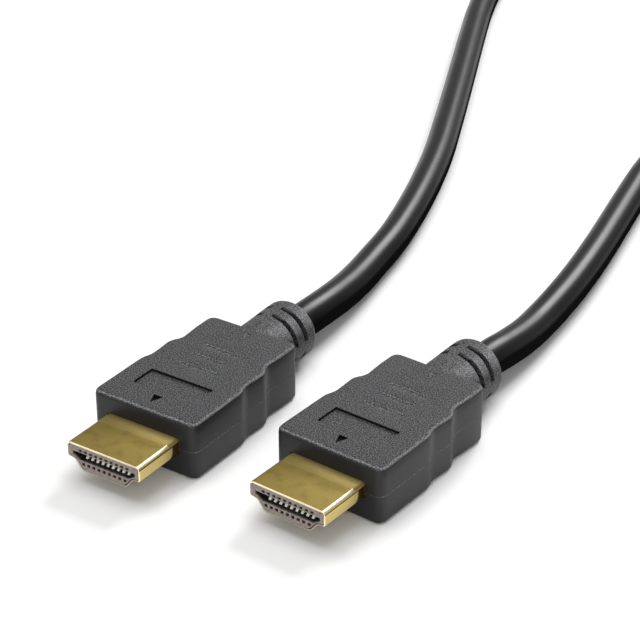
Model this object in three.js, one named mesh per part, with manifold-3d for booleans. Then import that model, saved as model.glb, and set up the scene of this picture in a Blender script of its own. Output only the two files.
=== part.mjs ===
// Digital video cable with a moulded plug on each end, lying on a level surface.
// Millimetres, +Z up. The plugs point along -Y, and the cable leaves them along +Y, lies in two
// loose curves and is wound into a coil for the length between them.
import * as THREE from 'three';
import { mergeVertices } from 'three/addons/utils/BufferGeometryUtils.js';
import Module from 'manifold-3d';

const wasm = await Module();
wasm.setup();

// Metal shell: a flat-topped tube with vertical upper walls, a shoulder and a narrower floor.
const SHELL_WIDTH = 13.9;
const SHELL_HEIGHT = 4.45;
const SHELL_LENGTH = 9.7;
const SHELL_SHEET = 0.3;
const SHELL_WALL_DEPTH = 2.55;
const SHELL_SHOULDER_WIDTH = 11.2;
const SHELL_SHOULDER_DROP = 0.2;
const SHELL_FLOOR_WIDTH = 8.6;
const SHELL_CORNER = 0.6;
const SHELL_CENTRE_HEIGHT = 4.5;
const SHELL_ROOT = 1.2;

// Insulator inside the shell, with the slot that the socket's tongue enters.
const INSULATOR_RECESS = 0.15;
const FIT = 0.12;
const SLOT_WIDTH = 12.0;
const SLOT_FLOOR_WIDTH = 9.4;
const SLOT_HEIGHT = 1.35;
const SLOT_CENTRE_RISE = 0.17;
const SLOT_DEPTH = 8.2;
const SLOT_SIDE_HEIGHT = 0.55;

// Contacts: ten above the slot and nine below it, half a pitch apart.
const CONTACT_PITCH = 1.0;
const UPPER_CONTACTS = 10;
const LOWER_CONTACTS = 9;
const CONTACT_WIDTH = 0.4;
const CONTACT_THICKNESS = 0.3;
const CONTACT_SETBACK = 1.3;
const CONTACT_LENGTH = 6.6;
const GROOVE_WIDTH = 0.56;
const GROOVE_OVERLAP = 0.2;
const UPPER_GROOVE_DEPTH = 0.5;
const LOWER_GROOVE_DEPTH = 0.8;
const LOWER_BRIDGE = 1.1;
const LOWER_BRIDGE_THICKNESS = 0.28;

// Overmould: one moulded body, wide at the shell and stepped in twice towards the cable.
const BODY_WIDTH = 19.9;
const BODY_THICKNESS = 10.0;
const BODY_END = 39.4;
const BODY_EDGE = 0.8;
const BODY_CORNER = 1.5;
const FRONT_BLOCK_END = 22.2;
const FIRST_WAIST_WIDTH = 18.6;
const MIDDLE_BLOCK_WIDTH = 19.2;
const MIDDLE_BLOCK_END = 29.0;
const SECOND_WAIST_WIDTH = 16.8;
const REAR_BLOCK_WIDTH = 17.5;
const WAIST_RUN = 1.7;
const REAR_BLOCK_START = 34.5;
const FRONT_STEP_ROUND = 0.7;
const MIDDLE_STEP_ROUND = 0.9;
const REAR_STEP_ROUND = 1.5;

// Marks in the body's top face: a plain sunk panel, a small arrow and three finger grooves.
const PANEL_WIDTH = 12.0;
const PANEL_LENGTH = 4.8;
const PANEL_START = 15.1;
const PANEL_DEPTH = 0.35;
const ARROW_TIP = 11.7;
const ARROW_LENGTH = 2.2;
const ARROW_WIDTH = 1.7;
const ARROW_DEPTH = 0.3;
const GRIP_FIRST = 24.0;
const GRIP_PITCH = 3.25;
const GRIP_COUNT = 3;
const GRIP_LENGTH = 8.2;
const GRIP_WIDTH = 1.3;
const GRIP_DEPTH = 0.3;
const GRIP_VALLEY = 0.2;

// Strain relief: a round boss behind the body, cut by two rings of slots.
const RELIEF_DIAMETER = 10.4;
const RELIEF_CENTRE_HEIGHT = 5.25;
const RELIEF_ROOT = 3;
const RELIEF_ROOT_TAPER = 0.7;
const RELIEF_END = 50.2;
const RELIEF_RIM = 1.1;
const RELIEF_SLOT_FIRST = 44.2;
const RELIEF_SLOT_PITCH = 2.7;
const RELIEF_SLOT_ROWS = 2;
const RELIEF_SLOT_WIDTH = 0.9;
const RELIEF_SLOT_DEPTH = 1.1;
const RELIEF_LONG_SLOT = 84;
const RELIEF_SHORT_SLOT = 50;
const RELIEF_SLOT_ANGLES = [
  { centre: 46, span: RELIEF_LONG_SLOT },
  { centre: 134, span: RELIEF_SHORT_SLOT },
  { centre: 226, span: RELIEF_LONG_SLOT },
  { centre: 314, span: RELIEF_SHORT_SLOT },
];

// The second plug lies beside the first, turned a little.
const SECOND_PLUG_AT = { x: 29.3, y: 6.15 };
const SECOND_PLUG_TURN = -3.5;

// Cable. Its loose stretches are hand-laid points, from the first plug's tip on the surface.
const CORD_DIAMETER = 6.2;
const CORD_SIDES = 10;
const CORD_GAP = 0.3;
const CORD_STEP = 2.5 * CORD_DIAMETER;
const ON_FLOOR = CORD_DIAMETER / 2 + 0.05;
const COIL_CENTRE = { x: 38.1, y: 234 };
const COIL_MIDDLE_RADIUS = 35.3;
const COIL_ROWS = 3;
const COIL_CHAMFER = 4.4;
const COIL_SEGMENTS = 48;

const ROUTE_A = [
  [0, 50.5, 5], [0, 55, 4.95], [-0.35, 61, 4.5], [-1.1, 67.5, 3.85], [-2.2, 74, 3.35],
  [-3.8, 82.2, ON_FLOOR], [-5.5, 90.8, ON_FLOOR], [-7.8, 99.3, ON_FLOOR], [-10.5, 108, ON_FLOOR],
  [-13.6, 117, ON_FLOOR], [-18.2, 129, ON_FLOOR], [-24.3, 143, ON_FLOOR], [-31, 158, ON_FLOOR],
  [-38, 173.5, ON_FLOOR], [-45, 189, ON_FLOOR], [-51.8, 204.5, ON_FLOOR], [-57.9, 220.4, ON_FLOOR],
  [-63.2, 236.5, ON_FLOOR], [-66.2, 252, ON_FLOOR], [-63.3, 268, ON_FLOOR], [-53, 280.3, ON_FLOOR],
  [-38, 285.8, ON_FLOOR], [-22.5, 283, ON_FLOOR], [-10.6, 273.2, ON_FLOOR], [-4.1, 255.2, ON_FLOOR],
];
const ROUTE_B = [
  [32.4, 56.55, 5], [32.67, 61, 4.9], [32.8, 66, 4.3], [32.65, 72, 3.6], [32.1, 78.5, ON_FLOOR],
  [31.3, 87.4, ON_FLOOR], [30.1, 96.5, ON_FLOOR], [28.3, 107, ON_FLOOR], [26, 118.5, ON_FLOOR],
  [23.6, 130, ON_FLOOR], [21.4, 141, ON_FLOOR], [19.6, 152, ON_FLOOR], [17.3, 163, ON_FLOOR],
  [13.6, 174, ON_FLOOR], [9.2, 184.5, 3.7], [4.9, 194.5, 5.6], [1.2, 203.7, 7.7],
];

const deg = THREE.MathUtils.degToRad;

const gilded = new THREE.MeshStandardMaterial({ color: 0x9a8a4c, roughness: 0.35, metalness: 0.9 });
const contactMetal = new THREE.MeshStandardMaterial({ color: 0xd8b45a, roughness: 0.3, metalness: 1 });
const insulatorPlastic = new THREE.MeshStandardMaterial({ color: 0x6a5f66, roughness: 0.6 });
const overmouldPlastic = new THREE.MeshStandardMaterial({ color: 0x1b1b1d, roughness: 0.6 });
const jacketPlastic = new THREE.MeshStandardMaterial({ color: 0x131315, roughness: 0.35 });

// A closed outline through corners, each [x, y, how far before and after it the rounding starts].
function roundedShape(corners) {
  const shape = new THREE.Shape();
  corners.forEach(([x, y, reach = 0], i) => {
    const corner = new THREE.Vector2(x, y);
    const [bx, by] = corners.at(i - 1);
    const [ax, ay] = corners[(i + 1) % corners.length];
    const towards = (px, py) => new THREE.Vector2(px - x, py - y).setLength(reach).add(corner);
    const start = reach ? towards(bx, by) : corner;
    if (i === 0) shape.moveTo(start.x, start.y);
    else shape.lineTo(start.x, start.y);
    if (reach) {
      const end = towards(ax, ay);
      shape.quadraticCurveTo(x, y, end.x, end.y);
    }
  });
  return shape;
}

// Corners of the right half, from the bottom up, completed by their mirror image.
function mirrored(rightHalf) {
  const leftHalf = rightHalf.map(([x, y, reach]) => [-x, y, reach]).reverse();
  return [...rightHalf, ...leftHalf];
}

// Extrudes an upright outline (x, z) along +Y between two places.
function alongY(shape, from, to, curveSegments = 3) {
  const geometry = new THREE.ExtrudeGeometry(shape, { depth: to - from, bevelEnabled: false, curveSegments });
  return geometry.rotateX(Math.PI / 2).translate(0, to, 0);
}

function boxBetween([x0, y0, z0], [x1, y1, z1]) {
  const box = new THREE.BoxGeometry(x1 - x0, y1 - y0, z1 - z0);
  return box.translate((x0 + x1) / 2, (y0 + y1) / 2, (z0 + z1) / 2);
}

function solidOf(geometry) {
  geometry.deleteAttribute('normal');
  geometry.deleteAttribute('uv');
  const merged = mergeVertices(geometry, 1e-5);
  return new wasm.Manifold(new wasm.Mesh({
    numProp: 3,
    vertProperties: new Float32Array(merged.attributes.position.array),
    triVerts: new Uint32Array(merged.index.array),
  }));
}

function geometryOf(solid) {
  const { vertProperties, triVerts } = solid.getMesh();
  const geometry = new THREE.BufferGeometry();
  geometry.setAttribute('position', new THREE.BufferAttribute(vertProperties, 3));
  geometry.setIndex(new THREE.BufferAttribute(triVerts, 1));
  return geometry.toNonIndexed();
}

function named(name, geometry, material) {
  const mesh = new THREE.Mesh(geometry, material);
  mesh.name = name;
  return mesh;
}

// The shell's cross-section about its own centre, drawn in by an inset (or out by a negative one).
function shellOutline(inset) {
  const top = SHELL_HEIGHT / 2 - inset;
  const wallFoot = SHELL_HEIGHT / 2 - SHELL_WALL_DEPTH + inset;
  const floor = -SHELL_HEIGHT / 2 + inset;
  const side = SHELL_WIDTH / 2 - inset;
  return roundedShape(mirrored([
    [SHELL_FLOOR_WIDTH / 2 - inset, floor, SHELL_CORNER],
    [SHELL_SHOULDER_WIDTH / 2 - inset, wallFoot - SHELL_SHOULDER_DROP, SHELL_CORNER / 2],
    [side, wallFoot, SHELL_CORNER / 2],
    [side, top, SHELL_CORNER],
  ]));
}

function makeShell() {
  const shape = shellOutline(0);
  shape.holes.push(shellOutline(SHELL_SHEET));
  return alongY(shape, 0, SHELL_LENGTH + SHELL_ROOT).translate(0, 0, SHELL_CENTRE_HEIGHT);
}

const slotTop = SLOT_CENTRE_RISE + SLOT_HEIGHT / 2;
const slotFloor = SLOT_CENTRE_RISE - SLOT_HEIGHT / 2;

// Each contact's place across the plug: the upper row first, then the lower one.
function contactRows() {
  const row = (count, upper) => Array.from({ length: count }, (_, i) => (
    { x: (i - (count - 1) / 2) * CONTACT_PITCH, upper }));
  return [...row(UPPER_CONTACTS, true), ...row(LOWER_CONTACTS, false)];
}

function makeInsulator() {
  const front = INSULATOR_RECESS;
  const rear = SHELL_LENGTH + SHELL_ROOT;
  let solid = solidOf(alongY(shellOutline(SHELL_SHEET + FIT), front, rear));
  const slot = roundedShape(mirrored([
    [SLOT_FLOOR_WIDTH / 2, slotFloor], [SLOT_WIDTH / 2, slotTop - SLOT_SIDE_HEIGHT], [SLOT_WIDTH / 2, slotTop],
  ]));
  solid = solid.subtract(solidOf(alongY(slot, -1, front + SLOT_DEPTH)));
  for (const { x, upper } of contactRows()) {
    const left = x - GROOVE_WIDTH / 2;
    const right = x + GROOVE_WIDTH / 2;
    const end = front + SLOT_DEPTH;
    if (upper) {
      const low = slotTop - GROOVE_OVERLAP;
      const groove = boxBetween([left, -1, low], [right, end, slotTop + UPPER_GROOVE_DEPTH]);
      solid = solid.subtract(solidOf(groove));
    } else {
      const bottom = slotFloor - LOWER_GROOVE_DEPTH;
      const bridge = front + LOWER_BRIDGE;
      const groove = boxBetween([left, bridge, bottom], [right, end, slotFloor + GROOVE_OVERLAP]);
      const under = slotFloor - LOWER_BRIDGE_THICKNESS;
      const mouth = boxBetween([left, -1, bottom], [right, bridge + GROOVE_OVERLAP, under]);
      solid = solid.subtract(solidOf(groove)).subtract(solidOf(mouth));
    }
  }
  return geometryOf(solid).translate(0, 0, SHELL_CENTRE_HEIGHT);
}

// A flat bar that lies along its groove, a little back from the slot's mouth.
function makeContact({ x, upper }) {
  const near = CONTACT_SETBACK;
  const far = CONTACT_SETBACK + CONTACT_LENGTH;
  const seat = upper ? slotTop + UPPER_GROOVE_DEPTH - FIT : slotFloor - UPPER_GROOVE_DEPTH + FIT;
  const face = upper ? seat - CONTACT_THICKNESS : seat + CONTACT_THICKNESS;
  const [low, high] = [Math.min(seat, face), Math.max(seat, face)];
  return boxBetween([x - CONTACT_WIDTH / 2, near, low], [x + CONTACT_WIDTH / 2, far, high])
    .translate(0, 0, SHELL_CENTRE_HEIGHT);
}

// The body's plan, drawn in by an inset. Every inset gives the same number of points.
function bodyOutline(inset) {
  const half = (width) => width / 2 - inset;
  return roundedShape(mirrored([
    [half(BODY_WIDTH), SHELL_LENGTH + inset, BODY_CORNER],
    [half(BODY_WIDTH), FRONT_BLOCK_END, FRONT_STEP_ROUND],
    [half(FIRST_WAIST_WIDTH), FRONT_BLOCK_END + WAIST_RUN, FRONT_STEP_ROUND],
    [half(MIDDLE_BLOCK_WIDTH), MIDDLE_BLOCK_END, MIDDLE_STEP_ROUND],
    [half(SECOND_WAIST_WIDTH), MIDDLE_BLOCK_END + WAIST_RUN, MIDDLE_STEP_ROUND],
    [half(REAR_BLOCK_WIDTH), REAR_BLOCK_START, REAR_STEP_ROUND],
    [half(REAR_BLOCK_WIDTH), BODY_END - inset, REAR_STEP_ROUND],
  ])).getPoints(3);
}

// The plan as a block whose upper and lower edges are rounded.
function makeBodyBlock() {
  const turns = [0, 45, 90].map(deg);
  const lower = turns.map((t) => ({ inset: BODY_EDGE * (1 - Math.sin(t)), z: BODY_EDGE * (1 - Math.cos(t)) }));
  const upper = lower.map(({ inset, z }) => ({ inset, z: BODY_THICKNESS - z })).reverse();
  const rings = [...lower, ...upper].map(({ inset, z }) => (
    bodyOutline(inset).map(({ x, y }) => [x, y, z])));
  const count = rings[0].length;
  const index = [];
  for (let r = 0; r + 1 < rings.length; r += 1) {
    for (let i = 0; i < count; i += 1) {
      const [a, b] = [r * count + i, r * count + ((i + 1) % count)];
      index.push(a, b, b + count, a, b + count, a + count);
    }
  }
  const plan = rings[0].map(([x, y]) => new THREE.Vector2(x, y));
  const top = (rings.length - 1) * count;
  for (const [a, b, c] of THREE.ShapeUtils.triangulateShape(plan, [])) {
    index.push(a, c, b, top + a, top + b, top + c);
  }
  const block = new THREE.BufferGeometry();
  block.setAttribute('position', new THREE.BufferAttribute(new Float32Array(rings.flat(2)), 3));
  block.setIndex(index);
  return solidOf(block);
}

function makeReliefBoss() {
  const r = RELIEF_DIAMETER / 2;
  const start = BODY_END - RELIEF_ROOT;
  const profile = new THREE.Path();
  profile.moveTo(0, start);
  profile.lineTo(r * RELIEF_ROOT_TAPER, start);
  profile.quadraticCurveTo(r, start, r, BODY_END);
  profile.lineTo(r, RELIEF_END - RELIEF_RIM);
  profile.quadraticCurveTo(r, RELIEF_END, r - RELIEF_RIM, RELIEF_END);
  profile.lineTo(0, RELIEF_END);
  return solidOf(new THREE.LatheGeometry(profile.getPoints(3), 32).translate(0, 0, RELIEF_CENTRE_HEIGHT));
}

// One slot of the strain relief: an arc of a flat ring, standing across the cable.
function makeReliefSlot(place, { centre, span }) {
  const outer = RELIEF_DIAMETER / 2 + 1;
  const inner = RELIEF_DIAMETER / 2 - RELIEF_SLOT_DEPTH;
  const arc = new THREE.Shape();
  arc.absarc(0, 0, outer, deg(centre - span / 2), deg(centre + span / 2), false);
  arc.absarc(0, 0, inner, deg(centre + span / 2), deg(centre - span / 2), true);
  const from = place - RELIEF_SLOT_WIDTH / 2;
  return solidOf(alongY(arc, from, from + RELIEF_SLOT_WIDTH, 7).translate(0, 0, RELIEF_CENTRE_HEIGHT));
}

function topMarks() {
  const top = BODY_THICKNESS;
  const marks = [boxBetween([-PANEL_WIDTH / 2, PANEL_START, top - PANEL_DEPTH],
    [PANEL_WIDTH / 2, PANEL_START + PANEL_LENGTH, top + 1])];
  const arrow = roundedShape([[0, ARROW_TIP], [ARROW_WIDTH / 2, ARROW_TIP + ARROW_LENGTH],
    [-ARROW_WIDTH / 2, ARROW_TIP + ARROW_LENGTH]]);
  marks.push(new THREE.ExtrudeGeometry(arrow, { depth: 2, bevelEnabled: false })
    .translate(0, 0, top - ARROW_DEPTH));
  for (let i = 0; i < GRIP_COUNT; i += 1) {
    const wedge = roundedShape([[-GRIP_WIDTH / 2, 0], [GRIP_WIDTH * GRIP_VALLEY, -GRIP_DEPTH], [GRIP_WIDTH / 2, 0],
      [GRIP_WIDTH / 2, 1], [-GRIP_WIDTH / 2, 1]]);
    const groove = alongY(wedge, -GRIP_LENGTH / 2, GRIP_LENGTH / 2).rotateZ(-Math.PI / 2);
    marks.push(groove.rotateZ(Math.PI).translate(0, GRIP_FIRST + i * GRIP_PITCH, top));
  }
  return marks.map(solidOf);
}

function makeOvermould() {
  let solid = makeBodyBlock().add(makeReliefBoss());
  const pocket = alongY(shellOutline(-FIT), 0, SHELL_LENGTH + SHELL_ROOT + CORD_GAP);
  solid = solid.subtract(solidOf(pocket.translate(0, 0, SHELL_CENTRE_HEIGHT)));
  for (const mark of topMarks()) solid = solid.subtract(mark);
  for (let row = 0; row < RELIEF_SLOT_ROWS; row += 1) {
    for (const slot of RELIEF_SLOT_ANGLES) {
      solid = solid.subtract(makeReliefSlot(RELIEF_SLOT_FIRST + row * RELIEF_SLOT_PITCH, slot));
    }
  }
  return geometryOf(solid);
}

function makePlug(prefix) {
  const plug = new THREE.Group();
  plug.add(named(`${prefix}_shell`, makeShell(), gilded));
  plug.add(named(`${prefix}_insulator`, makeInsulator(), insulatorPlastic));
  plug.add(named(`${prefix}_overmould`, makeOvermould(), overmouldPlastic));
  contactRows().forEach((place, i) => {
    const number = String(i + 1).padStart(2, '0');
    plug.add(named(`${prefix}_contact_${number}`, makeContact(place), contactMetal));
  });
  return plug;
}

// A straight-sided tube of the cable's diameter along hand-laid points.
function makeCordTube(points) {
  const curve = new THREE.CatmullRomCurve3(points.map((p) => new THREE.Vector3(...p)), false, 'centripetal');
  const section = new THREE.Shape(Array.from({ length: CORD_SIDES }, (_, i) => {
    const angle = (i / CORD_SIDES) * 2 * Math.PI;
    return new THREE.Vector2(Math.cos(angle), Math.sin(angle)).multiplyScalar(CORD_DIAMETER / 2);
  }));
  const steps = Math.round(curve.getLength() / CORD_STEP);
  return new THREE.ExtrudeGeometry(section, { extrudePath: curve, steps, bevelEnabled: false });
}

// The outer shape of the wound turns: a flat ring, two layers high, with its upper edges taken off.
function makeCoil() {
  const halfBreadth = (COIL_ROWS * CORD_DIAMETER) / 2;
  const inner = COIL_MIDDLE_RADIUS - halfBreadth;
  const outer = COIL_MIDDLE_RADIUS + halfBreadth;
  const height = 2 * CORD_DIAMETER;
  const profile = [
    [inner, 0], [outer, 0], [outer, height - COIL_CHAMFER], [outer - COIL_CHAMFER, height],
    [inner + COIL_CHAMFER, height], [inner, height - COIL_CHAMFER], [inner, 0],
  ].map(([r, z]) => new THREE.Vector2(r, z));
  const ring = new THREE.LatheGeometry(profile, COIL_SEGMENTS).rotateX(Math.PI / 2);
  return ring.translate(COIL_CENTRE.x, COIL_CENTRE.y, 0);
}

const plugs = new THREE.Group();
const firstPlug = makePlug('plug_a');
const secondPlug = makePlug('plug_b');
secondPlug.position.set(SECOND_PLUG_AT.x, SECOND_PLUG_AT.y, 0);
secondPlug.rotation.z = deg(SECOND_PLUG_TURN);
plugs.add(firstPlug, secondPlug);

const cable = new THREE.Group();
cable.add(named('cord_a', makeCordTube(ROUTE_A), jacketPlastic));
cable.add(named('cord_coil', makeCoil(), jacketPlastic));
cable.add(named('cord_b', makeCordTube(ROUTE_B), jacketPlastic));

// The origin is on the surface, at the middle of the two plugs' common box.
plugs.updateMatrixWorld(true);
const middle = new THREE.Box3().setFromObject(plugs, true).getCenter(new THREE.Vector3());
const root = new THREE.Group();
root.add(plugs, cable);
root.position.set(-middle.x, -middle.y, 0);
root.updateMatrixWorld(true);

export default root;
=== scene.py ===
"""Digital video cable with a moulded plug on each end, lying on a pale surface.

Each plug is modelled in millimetres in its own frame: the tip of its metal shell is at the origin, the
cable leaves it along +Y, and z is the height above the surface. Its pieces are then placed in metres.
"""
import logging
import math
from dataclasses import dataclass, field
from enum import Enum
from typing import Any, Callable, Dict, List, Sequence, Tuple

import bmesh
import bpy
from mathutils import Matrix, Vector


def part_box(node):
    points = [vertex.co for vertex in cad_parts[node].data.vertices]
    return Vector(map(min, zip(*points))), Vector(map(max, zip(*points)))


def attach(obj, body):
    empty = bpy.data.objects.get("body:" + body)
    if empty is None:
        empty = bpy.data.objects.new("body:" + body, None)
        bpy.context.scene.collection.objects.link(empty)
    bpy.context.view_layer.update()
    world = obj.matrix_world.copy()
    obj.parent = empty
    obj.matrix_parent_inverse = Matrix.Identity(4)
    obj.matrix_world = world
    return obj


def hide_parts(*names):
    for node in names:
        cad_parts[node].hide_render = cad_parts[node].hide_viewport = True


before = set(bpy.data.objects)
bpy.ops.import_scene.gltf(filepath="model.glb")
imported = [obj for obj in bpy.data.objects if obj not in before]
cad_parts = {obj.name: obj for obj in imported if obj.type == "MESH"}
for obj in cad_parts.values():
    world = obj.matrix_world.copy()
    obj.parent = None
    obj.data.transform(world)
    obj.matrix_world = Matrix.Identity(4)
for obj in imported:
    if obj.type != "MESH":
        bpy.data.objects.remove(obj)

LOG = logging.getLogger("video_cable")
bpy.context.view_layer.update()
MM = 0.001
# In millimetres: how far a cutter stands out past what it cuts, and the slack of a test or an overlap.
PAST = 1.0
MARGIN = 0.1
Point = Tuple[float, float, float]
Fade = Tuple[bpy.types.NodeSocket, float, float]


class End(Enum):
    """The two ends of the cable."""

    FIRST = "a"
    SECOND = "b"


Finishes = Dict[End, List[bpy.types.Material]]


@dataclass(frozen=True)
class Placement:
    """Where a plug lies: its tip on the surface, in millimetres, and its turn about the vertical.

    Attributes:
        x: Place of the tip across the row frame.
        y: Place of the tip along the row frame.
        turn: Turn in degrees, anticlockwise seen from above.
    """

    x: float
    y: float
    turn: float

    def matrix(self) -> Matrix:
        """Return the matrix from the plug's millimetres to the row frame's metres."""
        place = Matrix.Translation((self.x * MM, self.y * MM, 0))
        return place @ Matrix.Rotation(math.radians(self.turn), 4, "Z") @ Matrix.Scale(MM, 4)


def deselect_all() -> None:
    """Deselect every object."""
    bpy.ops.object.select_all(action="DESELECT")


def take_up(piece: bpy.types.Object) -> None:
    """Make one object the only selected and the active one.

    Args:
        piece: The object.
    """
    deselect_all()
    piece.select_set(True)
    bpy.context.view_layer.objects.active = piece


def settle(piece: bpy.types.Object) -> bpy.types.Object:
    """Move an object's place, turn and scale into its mesh.

    Args:
        piece: The object.

    Returns:
        The same object.
    """
    take_up(piece)
    bpy.ops.object.transform_apply(location=True, rotation=True, scale=True)
    return piece


class Bench:
    """A mesh in edit mode, whose points, edges and faces are picked by place.

    Attributes:
        piece: The object on the bench.
    """

    def __init__(self, piece: bpy.types.Object) -> None:
        """Lay a piece on the bench."""
        self.piece = piece

    def __enter__(self) -> "Bench":
        """Enter edit mode.

        Returns:
            The bench.
        """
        take_up(self.piece)
        bpy.ops.object.mode_set(mode="EDIT")
        return self

    def __exit__(self, *problem: Any) -> None:
        """Leave edit mode."""
        bpy.ops.object.mode_set(mode="OBJECT")

    def _pick(self, kind: str, test: Callable[[Any], bool]) -> int:
        """Select the elements of one kind that pass a test.

        Args:
            kind: VERT, EDGE or FACE.
            test: Takes one element and says whether to select it.

        Returns:
            How many were selected.
        """
        bpy.ops.mesh.select_mode(type=kind)
        bpy.ops.mesh.select_all(action="DESELECT")
        mesh = bmesh.from_edit_mesh(self.piece.data)
        elements = {"VERT": mesh.verts, "EDGE": mesh.edges, "FACE": mesh.faces}[kind]
        chosen = [e for e in elements if test(e)]
        for element in chosen:
            element.select_set(True)
        mesh.select_flush_mode()
        bmesh.update_edit_mesh(self.piece.data)
        return len(chosen)

    def pick_points(self, test: Callable[[Vector], bool]) -> int:
        """Select the points whose place passes a test, and return how many."""
        return self._pick("VERT", lambda v: test(v.co))

    def pick_edges(self, test: Callable[[Vector, Vector], bool]) -> int:
        """Select the edges whose two ends pass a test, and return how many."""
        return self._pick("EDGE", lambda e: test(e.verts[0].co, e.verts[1].co))

    def pick_faces(self, test: Callable[[Vector, Vector], bool]) -> int:
        """Select the faces whose middle and normal pass a test, and return how many."""
        return self._pick("FACE", lambda f: test(f.calc_center_median(), f.normal))

    def split_at(self, axis: int, place: float) -> None:
        """Cut the whole mesh by a plane across one axis, and keep both halves.

        Args:
            axis: 0, 1 or 2 for x, y or z.
            place: Where on that axis, in the mesh's units.
        """
        bpy.ops.mesh.select_mode(type="FACE")
        bpy.ops.mesh.select_all(action="SELECT")
        at = [0.0, 0.0, 0.0]
        normal = [0.0, 0.0, 0.0]
        at[axis] = place
        normal[axis] = 1.0
        bpy.ops.mesh.bisect(plane_co=at, plane_no=normal)

    def bevel(self, offset: float, segments: int, material: int = -1) -> None:
        """Round the selected edges.

        Args:
            offset: How far from the edge the rounding starts.
            segments: Steps in the rounding.
            material: Slot of the rounding's faces, or -1 for that of their neighbours.
        """
        bpy.ops.mesh.bevel(
            offset=offset,
            segments=segments,
            profile=0.5,
            affect="EDGES",
            clamp_overlap=False,
            material=material,
        )


def near(a: float, b: float, slack: float = 1e-3) -> bool:
    """Return whether two lengths are the same to within a slack."""
    return abs(a - b) < slack


def add_block(name: str, low: Sequence[float], high: Sequence[float]) -> bpy.types.Object:
    """Add a rectangular block between two corners.

    Args:
        name: Name of the new object.
        low: Its lowest corner.
        high: Its highest corner.

    Returns:
        The block.
    """
    deselect_all()
    bpy.ops.mesh.primitive_cube_add(size=1, location=[(a + b) / 2 for a, b in zip(low, high)])
    block = bpy.context.object
    block.name = name
    block.scale = [b - a for a, b in zip(low, high)]
    return settle(block)


def add_rod(
    name: str, radius: float, start: Sequence[float], end: Sequence[float], sides: int = 64
) -> bpy.types.Object:
    """Add a closed round rod between two points.

    Args:
        name: Name of the new object.
        radius: The rod's radius.
        start: Middle of its first end.
        end: Middle of its last end.
        sides: Number of its sides.

    Returns:
        The rod.
    """
    deselect_all()
    run = Vector(end) - Vector(start)
    bpy.ops.mesh.primitive_cylinder_add(
        vertices=sides,
        radius=radius,
        depth=run.length,
        location=(Vector(start) + Vector(end)) / 2,
        rotation=run.to_track_quat("Z", "Y").to_euler(),
    )
    rod = bpy.context.object
    rod.name = name
    return settle(rod)


def combine(piece: bpy.types.Object, tool: bpy.types.Object, operation: str) -> None:
    """Join a tool to a piece or cut the piece with it, and remove the tool.

    Args:
        piece: The object that is changed.
        tool: The object that it is joined to or cut by.
        operation: UNION or DIFFERENCE.
    """
    take_up(piece)
    modifier = piece.modifiers.new("combine", "BOOLEAN")
    modifier.operation = operation
    modifier.solver = "EXACT"
    modifier.object = tool
    bpy.ops.object.modifier_apply(modifier=modifier.name)
    discard(tool)


def discard(piece: bpy.types.Object) -> None:
    """Remove an object and its mesh.

    Args:
        piece: The object.
    """
    mesh = piece.data
    bpy.data.objects.remove(piece, do_unlink=True)
    bpy.data.meshes.remove(mesh)


def smooth(piece: bpy.types.Object, degrees: float) -> None:
    """Shade a piece smooth wherever its faces meet at less than an angle."""
    take_up(piece)
    bpy.ops.object.shade_smooth_by_angle(angle=math.radians(degrees))


def lay(master: bpy.types.Object, name: str, placement: Placement) -> bpy.types.Object:
    """Copy a modelled piece with its own mesh to a plug's place.

    Args:
        master: The piece in the plug's millimetres.
        name: Name of the copy.
        placement: Where the plug lies.

    Returns:
        The copy, in metres, with its object at the origin.
    """
    mesh = master.data.copy()
    mesh.name = name
    mesh.transform(placement.matrix())
    piece = bpy.data.objects.new(name, mesh)
    bpy.context.scene.collection.objects.link(piece)
    return piece


def linear(colour: str) -> Tuple[float, float, float, float]:
    """Turn an sRGB hex colour into linear red, green, blue and alpha.

    Args:
        colour: Six hex digits after a #.

    Returns:
        The four linear values.
    """
    parts = [int(colour[i : i + 2], 16) / 255 for i in (1, 3, 5)]
    curve = [c / 12.92 if c <= 0.04045 else ((c + 0.055) / 1.055) ** 2.4 for c in parts]
    return (curve[0], curve[1], curve[2], 1.0)


def add_node(tree: bpy.types.NodeTree, kind: str, inputs: Dict[Any, Any], **settings: Any) -> Any:
    """Add a node with its settings, its constants and its links.

    Args:
        tree: The node tree that it goes into.
        kind: Its type, without the ShaderNode that every type starts with.
        inputs: For an input's name or number, a constant, a hex colour or the socket that feeds it.
        settings: Attributes of the node.

    Returns:
        The node's output sockets, by name or number.
    """
    node = tree.nodes.new(f"ShaderNode{kind}")
    for name, value in settings.items():
        setattr(node, name, value)
    for name, value in inputs.items():
        if isinstance(value, bpy.types.NodeSocket):
            tree.links.new(value, node.inputs[name])
        else:
            node.inputs[name].default_value = linear(value) if isinstance(value, str) else value
    return node.outputs


def start_material(name: str) -> Tuple[bpy.types.Material, bpy.types.NodeTree]:
    """Start a material whose node tree is empty.

    Args:
        name: The material's name.

    Returns:
        The material and its node tree.
    """
    material = bpy.data.materials.new(name)
    material.use_nodes = True
    material.node_tree.nodes.clear()
    return material, material.node_tree


def plug_millimetres(tree: bpy.types.NodeTree, placement: Placement) -> bpy.types.NodeSocket:
    """Give a material the plug's own millimetres to draw in.

    Args:
        tree: The material's node tree.
        placement: Where the plug lies.

    Returns:
        The socket with the place in the plug's frame.
    """
    frame_of_plug = {
        "Vector": add_node(tree, "TexCoord", {})["Object"],
        "Location": (placement.x * MM, placement.y * MM, 0),
        "Rotation": (0, 0, math.radians(placement.turn)),
        "Scale": (MM, MM, MM),
    }
    return add_node(tree, "Mapping", frame_of_plug, vector_type="TEXTURE")[0]


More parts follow.
